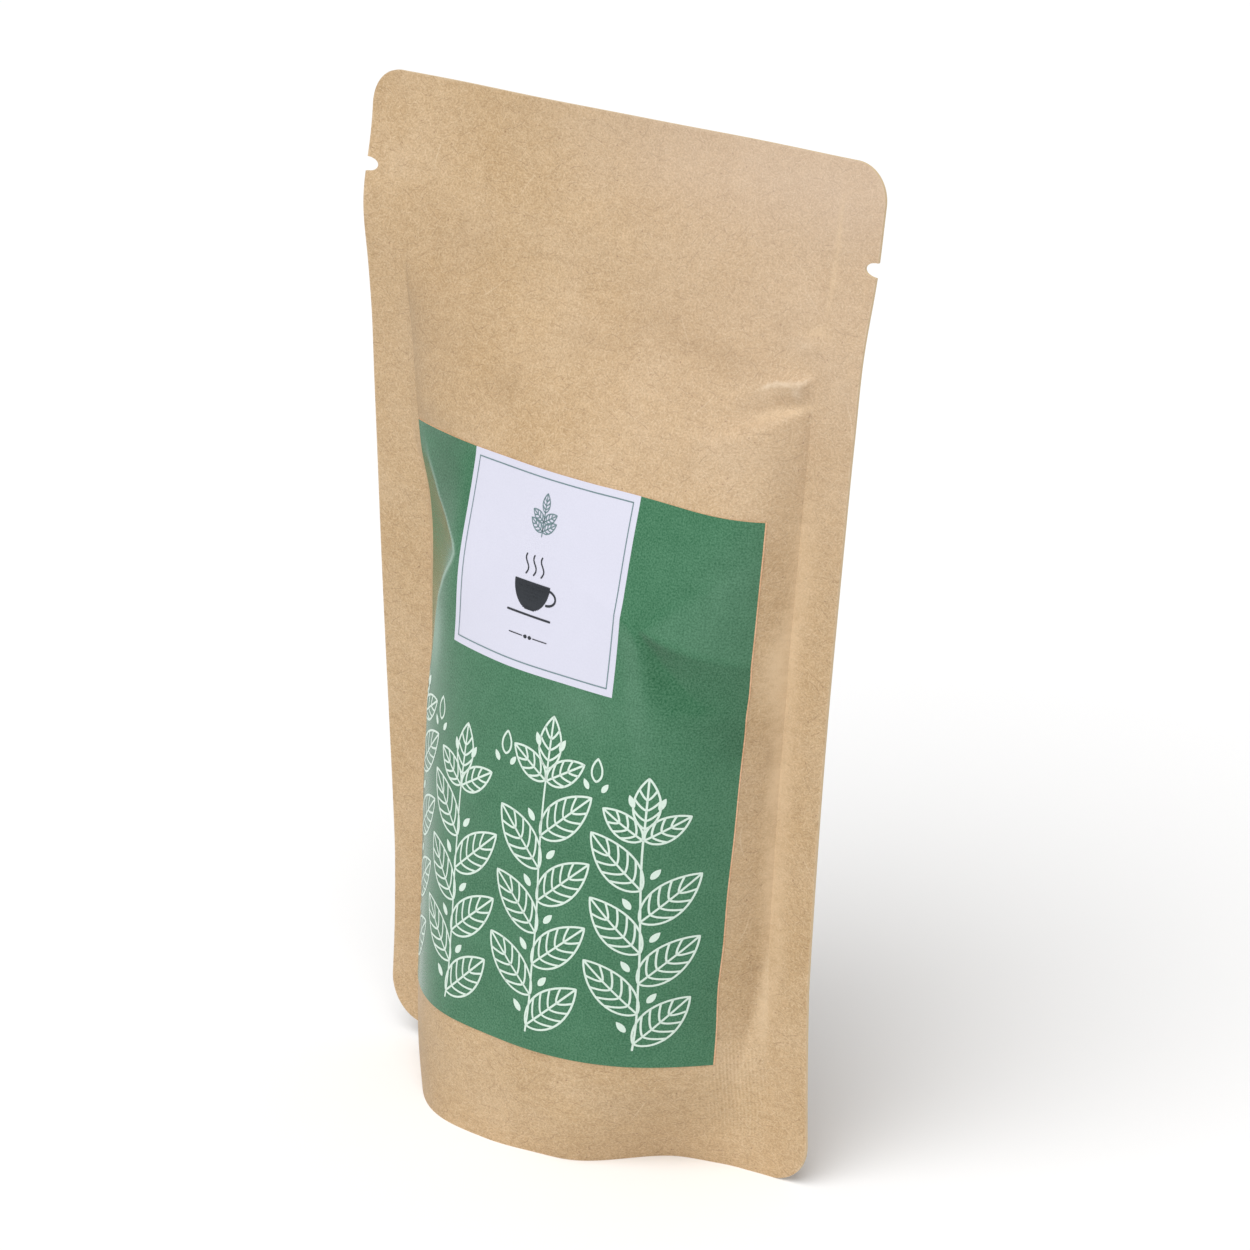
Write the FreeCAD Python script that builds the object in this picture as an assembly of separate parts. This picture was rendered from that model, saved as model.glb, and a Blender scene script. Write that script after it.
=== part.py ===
"""Stand-up paper pouch with a bottom gusset, sealed shut, and its front label.

Frame: +X right, +Y to the back, +Z up, millimetres.  The origin is on the
table under the middle of the pouch, in the plane of the side seals.

A sealed pouch is two flat sheets joined along their edges.  Each level of it
is a front curve and a back curve that leave the plane of the seals, so the
whole shape follows from how far the sheets bulge at each height.
"""
import FreeCAD
import Part

import math
import os

Vector = FreeCAD.Vector

# ---- Pouch: overall sizes ------------------------------------------------
POUCH_HEIGHT = 178.5        # standing height, table to top edge
POUCH_WIDTH = 110.0         # flat width, which the top edge keeps
WAIST_PULL = 8.0            # the bulge pulls each side in by this much
FOOT_SPREAD = 1.2           # on the table each side spreads again by this
FOOT_HEIGHT = 38.0          # height over which the foot spreads
WAIST_HEIGHT = 36.0         # the sides start to spread above this height
SPREAD_POWER = 1.2          # how late the sides spread towards the top

# ---- Pouch: seals --------------------------------------------------------
SIDE_SEAL = 8.5             # width of the flat seal down each side
SEAL_THICKNESS = 0.6        # both sheets together, where they are sealed
TOP_CORNER_RADIUS = 6.5
FOOT_CORNER_RADIUS = 8.0
CORNER_LIFT = 3.4           # the left foot corner stands off the table by this
CORNER_LIFT_RUN = 9.0       # its lower edge rises over this width
NOTCH_BELOW_TOP = 16.6      # tear notches, one in each side seal
NOTCH_DEPTH = 2.3
NOTCH_HALF_HEIGHT = 1.2

# ---- Pouch: bulge of the two sheets --------------------------------------
BULGE = 22.9                # front sheet's reach from the plane of the seals
BACK_BULGE = 23.6           # the back sheet's
TOP_FLAT = 26.5             # the sheets lie flat over this much of the top
BULGE_POWER = 3.8           # how late the bulge fades on the way up
BULGE_FADE = 1.7           # how softly it ends
CREST_FOOT = -5.75          # sideways place of the fullest point at the foot
CREST_DRIFT = 0.138         # and how far it moves right per mm of height
FLANK_TOP = 118.0           # flanks change their roundness up to this height
LEFT_FLANK = (2.9, 2.25)    # roundness of the front's left flank: foot, top
RIGHT_FLANK = (2.1, 5.1)    # and of its right flank
BACK_FLANK = (2.6, 3.0)     # the back sheet is even on both sides
FOOT_TAIL = (1.5, 2.3)      # flattening towards the sealed corners: left, right
TAIL_HEIGHT = 20.0          # the flattening fades out at this height

# ---- Pouch: the gentle curve of the seals, along Y -----------------------
SEAL_BOW = 1.7              # the middle of the seals bows forward
BOW_HEIGHT = 100.0          # and is fully forward from this height
LEAN_BELOW_TOP = 40.0       # from here up the sheet leans back
TOP_LEAN = 1.2              # by this much at the top edge

# ---- Pouch: the folded base ----------------------------------------------
GUSSET_RECESS = 2.5         # the base panel stands this far off the table
GUSSET_RIM = 4.0            # width of the rim that the pouch stands on
GUSSET_SLOPE = 9.0          # the recess reaches its depth over this distance

# ---- Label ---------------------------------------------------------------
LABEL_SIDE_ROOM = 29.0      # width of the pouch that the label leaves free
LABEL_WIDTH = POUCH_WIDTH - LABEL_SIDE_ROOM     # measured over the curved sheet
LABEL_HEIGHT = 99.0         # straight up
LABEL_BOTTOM = 20.5
LABEL_FOOT_GAP = 9.0        # from the right seal to the label, at its foot
LABEL_TOP_GAP = 5.8         # and at its top, measured over the sheet
LABEL_THICKNESS = 0.3
LABEL_CLEARANCE = 0.1       # adhesive between the sheet and the label

# ---- Fineness ------------------------------------------------------------
LEVELS = 25                 # levels the pouch's skin passes through
LABEL_LEVELS = 14           # levels the label passes through
LEVEL_POINTS = 19           # points across each level's curve
OVER_SHEET_STEP = 0.25      # step for lengths measured over a curved sheet


def mix(start, end, share):
    """The value a share of the way from start to end, with the share kept
    between 0 and 1."""
    return start + (end - start) * min(max(share, 0.0), 1.0)


def half_width(z):
    """Half the pouch's width at height z, out to the edges of the seals."""
    spread_height = POUCH_HEIGHT - WAIST_HEIGHT
    spread = min(max((z - WAIST_HEIGHT) / spread_height, 0.0), 1.0)
    foot = max(1.0 - z / FOOT_HEIGHT, 0.0) ** 2
    return (POUCH_WIDTH / 2.0 - WAIST_PULL * (1.0 - spread ** SPREAD_POWER)
            + FOOT_SPREAD * foot)


def ease(share):
    """Smooth step from 0 to 1."""
    share = min(max(share, 0.0), 1.0)
    return (1.0 - math.cos(math.pi * share)) / 2.0


def seal_offset(z):
    """How far the plane of the seals lies to the back at height z."""
    bow = SEAL_BOW * ease(z / BOW_HEIGHT)
    lean = ease((z - POUCH_HEIGHT + LEAN_BELOW_TOP) / LEAN_BELOW_TOP)
    return (TOP_LEAN + SEAL_BOW) * lean - bow


def fullness(z):
    """Share of the full bulge at height z."""
    share = min(max(z / (POUCH_HEIGHT - TOP_FLAT), 0.0), 1.0)
    return (1.0 - share ** BULGE_POWER) ** BULGE_FADE


def flank(rise, roundness, tail, z):
    """Share of the bulge on a flank, where rise goes from 0 at the crest to
    1 at the seal."""
    flattening = mix(1.0, tail, max(1.0 - z / TAIL_HEIGHT, 0.0) ** 2)
    return (1.0 - min(rise, 1.0) ** roundness) ** flattening


def front_y(x, z):
    """Y of the front sheet's outer face at x and height z."""
    inner = half_width(z) - SIDE_SEAL
    crest = CREST_FOOT + CREST_DRIFT * min(z, FLANK_TOP)
    side = 0 if x < crest else 1
    reach = (crest + inner, inner - crest)[side]
    roundness = mix(*(LEFT_FLANK, RIGHT_FLANK)[side], z / FLANK_TOP)
    share = flank(abs(x - crest) / reach, roundness, FOOT_TAIL[side], z)
    return seal_offset(z) - SEAL_THICKNESS / 2.0 - BULGE * fullness(z) * share


def back_y(x, z):
    """Y of the back sheet's outer face at x and height z."""
    inner = half_width(z) - SIDE_SEAL
    share = flank(abs(x) / inner, mix(*BACK_FLANK, z / FLANK_TOP),
                  sum(FOOT_TAIL) / 2.0, z)
    return seal_offset(z) + SEAL_THICKNESS / 2.0 + BACK_BULGE * fullness(z) * share


def spaced(low, high, count):
    """Evenly spaced values from low to high."""
    return [low + (high - low) * i / (count - 1) for i in range(count)]


def crowded(low, high):
    """Places across a level, closer together near both ends."""
    return [low + (high - low) * ease(share)
            for share in spaced(0.0, 1.0, LEVEL_POINTS)]


def curve(points):
    """A smooth edge through the points."""
    spline = Part.BSplineCurve()
    spline.interpolate(Points=points)
    return spline.toShape()


def sheet_curve(sheet, low, high, z, lift=0.0):
    """A level curve of one sheet from x = low to x = high, moved along Y."""
    return curve([Vector(x, sheet(x, z) + lift, z) for x in crowded(low, high)])


def pouch_level(z):
    """The closed outline of the pouch at height z: eight edges."""
    outer = half_width(z)
    inner = outer - SIDE_SEAL
    front = seal_offset(z) - SEAL_THICKNESS / 2.0
    back = seal_offset(z) + SEAL_THICKNESS / 2.0

    def line(x1, y1, x2, y2):
        return Part.makeLine(Vector(x1, y1, z), Vector(x2, y2, z))

    return Part.Wire([
        line(-outer, front, -inner, front),
        sheet_curve(front_y, -inner, inner, z),
        line(inner, front, outer, front),
        line(outer, front, outer, back),
        line(outer, back, inner, back),
        sheet_curve(back_y, inner, -inner, z),
        line(-inner, back, -outer, back),
        line(-outer, back, -outer, front),
    ])


def corner_cut(x, z, radius, side, up):
    """What is cut off to round the corner of the flat sheet at (x, z).  The
    corner points to the side and up that are given as 1 or -1."""
    depth = 2.0 * max(BULGE, BACK_BULGE)
    margin = 1.0
    size = radius + margin
    low_x = x - radius if side > 0 else x - margin
    low_z = z - radius if up > 0 else z - margin
    block = Part.makeBox(size, 2.0 * depth, size, Vector(low_x, -depth, low_z))
    rod = Part.makeCylinder(radius, 2.0 * depth,
                            Vector(x - side * radius, -depth, z - up * radius),
                            Vector(0, 1, 0))
    return block.cut(rod)


def lift_cut():
    """What is cut off below the left foot corner, which is lifted."""
    depth = 2.0 * max(BULGE, BACK_BULGE)
    margin = 1.0
    edge = -half_width(0.0)
    high = edge + FOOT_CORNER_RADIUS
    outline = [(edge - margin, -margin), (high + CORNER_LIFT_RUN, -margin),
               (high + CORNER_LIFT_RUN, 0.0), (high, CORNER_LIFT),
               (edge - margin, CORNER_LIFT)]
    points = [Vector(x, -depth, z) for x, z in outline]
    face = Part.Face(Part.makePolygon(points + points[:1]))
    return face.extrude(Vector(0, 2.0 * depth, 0))


def notch_cut(side):
    """A tear notch with a round end in the edge of one side seal."""
    depth = 2.0 * max(BULGE, BACK_BULGE)
    margin = 1.0
    z = POUCH_HEIGHT - NOTCH_BELOW_TOP
    edge = half_width(z)
    round_x = edge - NOTCH_DEPTH + NOTCH_HALF_HEIGHT
    low_x = round_x if side > 0 else -edge - margin
    slot = Part.makeBox(edge + margin - round_x, 2.0 * depth,
                        2.0 * NOTCH_HALF_HEIGHT,
                        Vector(low_x, -depth, z - NOTCH_HALF_HEIGHT))
    end = Part.makeCylinder(NOTCH_HALF_HEIGHT, 2.0 * depth,
                            Vector(side * round_x, -depth, z), Vector(0, 1, 0))
    return slot.fuse(end)


def gusset_outline(inset, z):
    """The lens outline of the base panel, set in from the pouch's foot."""
    inner = half_width(0.0) - SIDE_SEAL - inset
    xs = crowded(-inner, inner)
    front = [Vector(x, front_y(x, 0.0) * (1.0 - inset / BULGE), z) for x in xs]
    back = [Vector(x, back_y(x, 0.0) * (1.0 - inset / BACK_BULGE), z)
            for x in xs]
    back[0] = front[0]
    back[-1] = front[-1]
    return Part.Wire([curve(front), curve(back[::-1])])


def build_pouch():
    body = Part.makeLoft([pouch_level(z)
                          for z in spaced(0.0, POUCH_HEIGHT, LEVELS)],
                         True, False)
    cuts = [Part.makeLoft([gusset_outline(GUSSET_RIM, 0.0),
                           gusset_outline(GUSSET_RIM + GUSSET_SLOPE,
                                          GUSSET_RECESS)], True, True)]
    cuts.append(lift_cut())
    for side in (-1, 1):
        cuts.append(corner_cut(side * half_width(POUCH_HEIGHT), POUCH_HEIGHT,
                               TOP_CORNER_RADIUS, side, 1))
        lift = CORNER_LIFT if side < 0 else 0.0
        cuts.append(corner_cut(side * half_width(lift), lift,
                               FOOT_CORNER_RADIUS, side, -1))
        cuts.append(notch_cut(side))
    for cut in cuts:
        body = body.cut(cut)
    return body


def x_over_sheet(distance, z):
    """Where a distance, measured over the front sheet from its right seal,
    ends at height z."""
    x = half_width(z) - SIDE_SEAL
    y = front_y(x, z)
    while True:
        next_y = front_y(x - OVER_SHEET_STEP, z)
        length = math.hypot(OVER_SHEET_STEP, next_y - y)
        if length >= distance:
            return x - OVER_SHEET_STEP * distance / length
        distance -= length
        x -= OVER_SHEET_STEP
        y = next_y


def label_level(z):
    """The thin outline of the label at height z."""
    gap = mix(LABEL_FOOT_GAP, LABEL_TOP_GAP, (z - LABEL_BOTTOM) / LABEL_HEIGHT)
    right = x_over_sheet(gap, z)
    left = x_over_sheet(gap + LABEL_WIDTH, z)
    inside = -LABEL_CLEARANCE
    outside = inside - LABEL_THICKNESS

    def end(x, first, last):
        return Part.makeLine(Vector(x, front_y(x, z) + first, z),
                             Vector(x, front_y(x, z) + last, z))

    return Part.Wire([
        sheet_curve(front_y, left, right, z, outside),
        end(right, outside, inside),
        sheet_curve(front_y, right, left, z, inside),
        end(left, inside, outside),
    ])


def build_label():
    return Part.makeLoft([label_level(z)
                          for z in spaced(LABEL_BOTTOM,
                                          LABEL_BOTTOM + LABEL_HEIGHT,
                                          LABEL_LEVELS)], True, False)


def main():
    os.makedirs("parts", exist_ok=True)
    build_pouch().exportStep("parts/pouch.step")
    build_label().exportStep("parts/label.step")


main()
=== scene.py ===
"""Looks of the stand-up tea pouch: paper, label, print, light and camera.

Lengths are in millimetres while a surface is worked out and become metres
when its mesh is made.  The frame is the CAD's: +X right, +Y to the back, +Z
up, origin on the table in the plane of the side seals.
"""

import math

import bpy
import numpy as np
from mathutils import Matrix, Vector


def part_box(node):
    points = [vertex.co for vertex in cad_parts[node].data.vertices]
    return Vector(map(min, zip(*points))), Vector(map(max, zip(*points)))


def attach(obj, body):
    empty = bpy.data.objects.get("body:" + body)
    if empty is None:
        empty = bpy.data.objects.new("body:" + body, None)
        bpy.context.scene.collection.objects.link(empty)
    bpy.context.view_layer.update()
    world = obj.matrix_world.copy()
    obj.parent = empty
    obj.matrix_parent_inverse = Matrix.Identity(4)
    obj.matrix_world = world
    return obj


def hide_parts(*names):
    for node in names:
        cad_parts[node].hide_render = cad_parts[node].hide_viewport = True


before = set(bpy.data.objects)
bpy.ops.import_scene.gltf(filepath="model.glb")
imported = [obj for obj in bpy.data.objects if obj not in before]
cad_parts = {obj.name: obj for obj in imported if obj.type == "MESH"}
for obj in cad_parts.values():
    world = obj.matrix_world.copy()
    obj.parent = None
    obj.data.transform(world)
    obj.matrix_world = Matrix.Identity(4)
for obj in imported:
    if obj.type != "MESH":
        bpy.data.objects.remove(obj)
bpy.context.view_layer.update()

MM = 0.001

# ---- Sizes from the frame ----
POUCH_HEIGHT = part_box("pouch")[1][2] / MM
LABEL_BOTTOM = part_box("label")[0][2] / MM
LABEL_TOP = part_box("label")[1][2] / MM

# ---- The pouch's shape, as in the CAD ----
POUCH_WIDTH = 110.0
WAIST_PULL = 8.0          # the bulge pulls each side in by this
FOOT_SPREAD = 1.2         # and the foot spreads again by this
FOOT_HEIGHT = 38.0
WAIST_HEIGHT = 36.0       # the sides start to spread above this height
SPREAD_POWER = 1.2
SIDE_SEAL = 8.5
SEAL_THICKNESS = 0.5      # a little thinner than the CAD's plate
TOP_CORNER_RADIUS = 6.5
FOOT_CORNER_RADIUS = 8.0
CORNER_LIFT = 3.4         # the left foot corner stands off the table by this
CORNER_LIFT_RUN = 9.0
NOTCH_LEVEL = POUCH_HEIGHT - 16.6
NOTCH_DEPTH = 2.4
NOTCH_HALF_HEIGHT = 1.2
BULGE = 22.9              # the front sheet's reach from the plane of the seals
BACK_BULGE = 23.6
TOP_FLAT = 26.5           # the sheets lie flat over this much of the top
BULGE_POWER = 3.8
BULGE_FADE = 1.7
CREST_FOOT = -5.75        # sideways place of the fullest point at the foot
CREST_DRIFT = 0.138       # and how far it moves right per mm of height
FLANK_TOP = 118.0
LEFT_FLANK = (2.9, 2.25)  # roundness of each flank: at the foot, at FLANK_TOP
RIGHT_FLANK = (2.1, 5.1)
BACK_FLANK = (2.6, 3.0)
FOOT_TAIL = (1.5, 2.3)    # flattening towards the sealed corners: left, right
TAIL_HEIGHT = 20.0
SEAL_BOW = 1.7            # the middle of the seals bows forward
BOW_HEIGHT = 100.0
LEAN_BELOW_TOP = 40.0     # from here up the sheets lean back
TOP_LEAN = 1.2
GUSSET_RECESS = 2.5       # the base panel is arched off the table by this

# ---- Finer shape, beyond the CAD ----
FOLD_LEVELS = (142.7, 138.9)    # where the two folds start at the right seal
FOLD_HEIGHT = 2.2         # of the upper one
FOLD_FALL = 0.33          # how far they fall per mm on their way in
SHOULDER_RAISE = 5.0      # the bulge keeps so much higher up beside the seal
SHOULDER_SLANT = 0.3      # and loses this share of its depth towards it
FLAT_CORNER = 7.0         # flat paper beside the right seal, at the table
FLAT_HEIGHT = 45.0        # and up to this height
FLAT_START = 18.0         # right of this x the sheet is moved outwards there
FLAT_SHIFT = 2.3          # by up to this
CURL = 2.6                # the upper left edge curls forward by this
CURL_HEIGHT = 156.0
RIDGE = ((50.0, -30.0), (65.0, -29.0), (75.0, -28.5), (83.9, -27.6),
         (88.1, -27.2), (92.6, -26.2), (96.6, -24.4), (100.1, -22.2),
         (101.6, -21.7), (103.1, -22.6), (105.0, -25.4), (108.5, -30.6),
         (113.7, -35.6), (119.5, -38.4))    # z and x of the pressed-in facet's ridge
DENT_START = 30.0         # the facet begins at this height
DENT_FADE = 50.0          # and is fully pressed in so much higher
DENT_FOOT = 3.4           # paper that lies flat beside the seal at the facet
DENT_FOOT_FADE = 14.0
DIMPLE = (21.7, 99.3)     # x and z of the dimple's sharp corner
DIMPLE_RIM = (37.0, 113.0)  # where the fold that runs up from it has died away
SWELLS = (                # place, size and height of soft rises and hollows
    ((-21.0, 101.0), (7.0, 10.0), 1.4),     # by the corner of the facet's ridge
    ((-3.1, 0.0), (14.0, 12.0), -0.73),     # four along the foot
    ((12.7, 0.0), (6.5, 12.0), 2.15),
    ((22.5, 0.0), (5.6, 12.0), -2.0),
    ((36.5, 0.0), (3.9, 12.0), 0.6),
    ((34.5, 85.5), (4.0, 2.6), 0.45),       # to the lower right of the dimple
    ((37.2, 38.8), (0.9, 0.7), -0.25),      # two dints by the right seal
    ((37.8, 37.6), (0.5, 1.1), -0.2))

# ---- The label ----
LABEL_WIDTH = 81.0
LABEL_FOOT_GAP = 9.0      # from the right seal, over the sheet
LABEL_TOP_GAP = 5.8
LABEL_LIFT = 0.14
LABEL_EDGE = 0.25         # bare paper along its right edge
LABEL_DROOP = 0.7         # of the upper right corner
PRINT_LIFT = 0.03
PANEL_RIGHT = 23.5        # from the label's right edge to the white panel
PANEL_WIDTH = 38.4
PANEL_HEIGHT = 33.5
PANEL_INSET = 1.3         # from the panel's edge to its border line
SPRIG_LINE = 0.38         # widths of the printed lines
BORDER_LINE = 0.2
SPRIG_AREA = ((0.8, 2.8), (LABEL_WIDTH - 2.6, 200.0))   # they are cut off outside

# ---- Meshes ----
ROW_STEP = 0.5
INNER_COLUMNS = 225
SEAL_COLUMNS = 18
GUSSET_ROWS = 24
LABEL_STEP = 0.45
BACK_SHEET_SHIFT = 400.0  # keeps the grain of front and back apart

# ---- Marks on the paper, with painted highlights and painted shade ----
# The pale mark at sharp bends is crease whitening and also a painted highlight on the fold crests.
SHARP_BEND = 0.9          # curvature, 1/mm, at which the paper whitens
RIB_BOX = ((30.5, 7.0), (38.5, 24.0))       # the gusset's ribs show through here
# Darker patches: painted shade in hollows and under folds, and one small stain on the left seal.
PAINTED_SHADE_AND_STAIN = (                # place, size and strength of each darker patch
    ((44.9, 142.8), (0.25, 0.25), 1.0), ((37.1, 38.6), (0.5, 0.35), 0.5),
    ((-44.0, 130.0), (0.35, 0.3), 0.6), ((-35.0, 137.0), (14.0, 13.0), 0.22),
    ((-17.5, 130.0), (5.0, 3.5), 0.22), ((-26.0, 8.0), (10.0, 12.0), 0.4),
    ((26.0, 143.5), (12.0, 2.2), 0.28), ((12.0, 147.0), (8.0, 2.6), 0.26),
    ((1.5, 141.5), (8.0, 2.4), 0.26), ((38.0, 150.5), (5.0, 2.0), 0.2),
    ((-31.0, 152.0), (9.0, 5.0), 0.15))

# ---- Light and camera ----
KEY_LIGHT = (10.0, 54.0, 56.0, 2.53)        # azimuth, elevation, spread, strength
SKY_STRENGTH = 0.49
FLOOR_GREY = 0.92
FLOOR_REACH = 4000.0
CAMERA_ANGLES = (39.1686, 19.1681, 1.5012)  # azimuth, elevation, roll
CAMERA_PLACE = (0.40928, -0.49638, 0.31405)
CAMERA_LENS = 115.2


# ---- Shape functions ----
def clamp(share):
    """The share, kept between 0 and 1."""
    return np.clip(share, 0.0, 1.0)


def mix(start, end, share):
    """The value a share of the way from start to end."""
    return start + (end - start) * clamp(share)


def ease(share):
    """Smooth step from 0 to 1."""
    return (1.0 - np.cos(np.pi * clamp(share))) / 2.0


def hump(value, middle, width):
    """1 at the middle, falling off over the width on both sides."""
    return np.exp(-((value - middle) / width) ** 2)


def stacked(*values):
    """The values side by side along a new last axis."""
    return np.stack(np.broadcast_arrays(*values), axis=-1)


def travelled(x, y):
    """Distance along a curve from its first point; for a grid, row by row."""
    gaps = np.hypot(np.diff(x), np.diff(y))
    start = np.zeros(gaps.shape[:-1] + (1,))
    return np.concatenate([start, np.cumsum(gaps, axis=-1)], axis=-1)


def half_width(z):
    """Half the pouch's width, out to the edges of the seals."""
    spread = clamp((z - WAIST_HEIGHT) / (POUCH_HEIGHT - WAIST_HEIGHT))
    foot = np.clip(1.0 - z / FOOT_HEIGHT, 0.0, None) ** 2
    return POUCH_WIDTH / 2.0 - WAIST_PULL * (1.0 - spread ** SPREAD_POWER) + FOOT_SPREAD * foot


def seal_line(z):
    """X of the right seal's inner line; the left seal's mirrors it."""
    return half_width(z) - SIDE_SEAL


def outline_half_width(z):
    """Half the width that the sheets are cut to, with corners and notches."""
    width = half_width(z)
    for radius, rise in ((TOP_CORNER_RADIUS, z - POUCH_HEIGHT + TOP_CORNER_RADIUS),
                         (FOOT_CORNER_RADIUS, FOOT_CORNER_RADIUS - z)):
        rise = np.clip(rise, 0.0, radius)
        width = width - radius + np.sqrt(radius ** 2 - rise ** 2)
    notch = (z - NOTCH_LEVEL) / NOTCH_HALF_HEIGHT
    return width - NOTCH_DEPTH * np.sqrt(clamp(1.0 - notch ** 2))


def seal_offset(z):
    """How far the plane of the seals lies to the back."""
    bow = SEAL_BOW * ease(z / BOW_HEIGHT)
    lean = ease((z - POUCH_HEIGHT + LEAN_BELOW_TOP) / LEAN_BELOW_TOP)
    return (TOP_LEAN + SEAL_BOW) * lean - bow


def foot_lift(x, z):
    """The left foot corner stands this far off the table, and the paper above
    it is pushed up as well."""
    run = (FOOT_CORNER_RADIUS - POUCH_WIDTH / 2.0 + WAIST_PULL - FOOT_SPREAD
           + CORNER_LIFT_RUN - x) / CORNER_LIFT_RUN
    return CORNER_LIFT * ease(run) * ease((26.0 - z) / 18.0)


def fullness(z):
    """Share of the full bulge at height z."""
    share = clamp(z / (POUCH_HEIGHT - TOP_FLAT))
    return (1.0 - share ** BULGE_POWER) ** BULGE_FADE


def flank(rise, roundness, tail, z):
    """Share of the bulge where rise goes from 0 at the crest to 1 at the seal."""
    flattening = mix(1.0, tail, clamp(1.0 - z / TAIL_HEIGHT) ** 2)
    return (1.0 - np.minimum(rise, 1.0) ** roundness) ** flattening


def flat_corner(x, z):
    """Places moved outwards beside the right foot corner, where the sheets lie
    together on the gusset as far in as its slanting edge."""
    inner = seal_line(z)
    edge = inner - FLAT_CORNER * np.clip(1.0 - z / FLAT_HEIGHT, 0.02, 1.0)
    rise = ease((x - FLAT_START) / (edge - FLAT_START))
    fall = clamp((inner - x) / (inner - edge))
    moved = FLAT_SHIFT * ease(z / 9.0) * ease((FLAT_HEIGHT - z) / 22.0)
    return x + moved * np.minimum(rise, fall)


def crest_x(z):
    """X of the fullest point at height z."""
    return CREST_FOOT + CREST_DRIFT * np.minimum(z, FLANK_TOP)


def full_bulge(x, z, level, squarer=0.0):
    """The plain bulge of the front sheet, as full as it is at another level."""
    inner = seal_line(z)
    crest = crest_x(z)
    on_left = x < crest
    reach = np.where(on_left, crest + inner, inner - crest)
    roundness = np.where(on_left, mix(*LEFT_FLANK, z / FLANK_TOP),
                         mix(*RIGHT_FLANK, z / FLANK_TOP) + squarer)
    return BULGE * fullness(level) * flank(np.abs(x - crest) / reach, roundness,
                                           np.where(on_left, *FOOT_TAIL), z)


def soft_min(first, second, blunt):
    """The smaller value, with the corner between the two blunted."""
    return (first + second - np.sqrt((first - second) ** 2 + blunt ** 2)) / 2.0


def front_bulge(x, z):
    """How far the front sheet stands out from the plane of the seals.  By the
    right seal it stays full up to the second fold, with a straight flank."""
    x = flat_corner(x, z)
    gone = seal_line(z) - x
    near = ease((34.0 - gone) / 26.0)
    plain = full_bulge(x, z, z)
    raised = ease((z - 104.0) / 26.0)
    full = full_bulge(x, z, z - SHOULDER_RAISE * near * raised, 2.5 * raised)
    full = full * (1.0 - SHOULDER_SLANT * raised * ease((138.0 - z) / 16.0)
                   * clamp((x - 8.0) / 32.0))
    straight = np.maximum(gone, 0.0) * (1.35 + 0.02 * (FOLD_LEVELS[1] - z))
    straight = soft_min(full, straight, 1.1 * ease(gone / 3.0))
    full = full + (straight - full) * ease((z - 92.0) / 30.0)
    below = FOLD_LEVELS[1] - FOLD_FALL * gone - z
    share = ease(below / (1.6 + 0.25 * np.clip(gone, 0.0, 14.0)))
    return plain + (full - plain) * share


def back_bulge(x, z):
    """How far the back sheet stands out."""
    inner = seal_line(z)
    return BACK_BULGE * fullness(z) * flank(
        np.abs(x) / inner, mix(*BACK_FLANK, z / FLANK_TOP),
        sum(FOOT_TAIL) / 2.0, z)


def swell(x, z, place, size, height):
    """A soft round rise, or a hollow where the height is negative."""
    return height * hump(x, place[0], size[0]) * hump(z, place[1], size[1])


def waves(x, z, length, height, seed):
    """Gentle irregular unevenness of about the given wavelength."""
    random = np.random.RandomState(seed)
    total = 0.0
    for _ in range(7):
        angle = random.uniform(0.0, math.pi)
        turn = 2.0 * math.pi / (length * random.uniform(0.7, 1.6))
        total = total + np.sin(turn * (x * math.cos(angle) + z * math.sin(angle))
                               + random.uniform(0.0, 2.0 * math.pi))
    return height * total / math.sqrt(7.0)


def middle(x, z):
    """Y of the middle between the two sheets, where they lie together."""
    curl = CURL * hump(z, CURL_HEIGHT, 9.0)
    curl = curl * np.exp(-np.maximum(x + POUCH_WIDTH / 2.0, 0.0) / 7.0)
    flat = ease((z - LABEL_TOP) / 40.0)
    return seal_offset(z) - curl + flat * waves(x, z, 34.0, 0.28, 3)


def ridge_x(z):
    """X of the ridge beside the pressed-in facet."""
    return np.interp(z, *zip(*RIDGE))


def dent(x, z):
    """The left of the sheet is pressed flat between the seal and a ridge at
    the upper left of the label; how far it lies behind the full bulge.  The
    ridge is a little blunt: the mean over a few places beside it."""
    total = 0.0
    for shift in (-0.4, -0.2, 0.0, 0.2, 0.4):
        ridge = ridge_x(z) + shift
        foot = DENT_FOOT * ease((LABEL_TOP - z) / DENT_FOOT_FADE) - seal_line(z)
        chord = clamp((x - foot) / (ridge - foot)) * front_bulge(ridge, z)
        flat = np.where(x < ridge, front_bulge(x, z) - chord, 0.0)
        total = total + np.maximum(flat, 0.0) / 5.0
    return total * ease((z - DENT_START) / DENT_FADE)


def past_left_line(x, z):
    """Distance to the right of the line beside the left seal above the label
    where the sheet stands up."""
    return x + seal_line(z) - mix(0.5, 3.1, (145.0 - z) / 26.0)


def left_rise(x, z):
    """The sheet stands up sharply beside the left seal above the label."""
    begun = past_left_line(x, z)
    inside = np.maximum(begun, 0.0)
    rise = 0.6 * ease(begun / 0.6 + 0.5) + 0.8 * (1.0 - np.exp(-inside / 2.5))
    return rise * hump(inside, 0.0, 16.0) \
        * ease((150.0 - z) / 12.0) * ease((z - 117.0) / 8.0)


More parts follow.
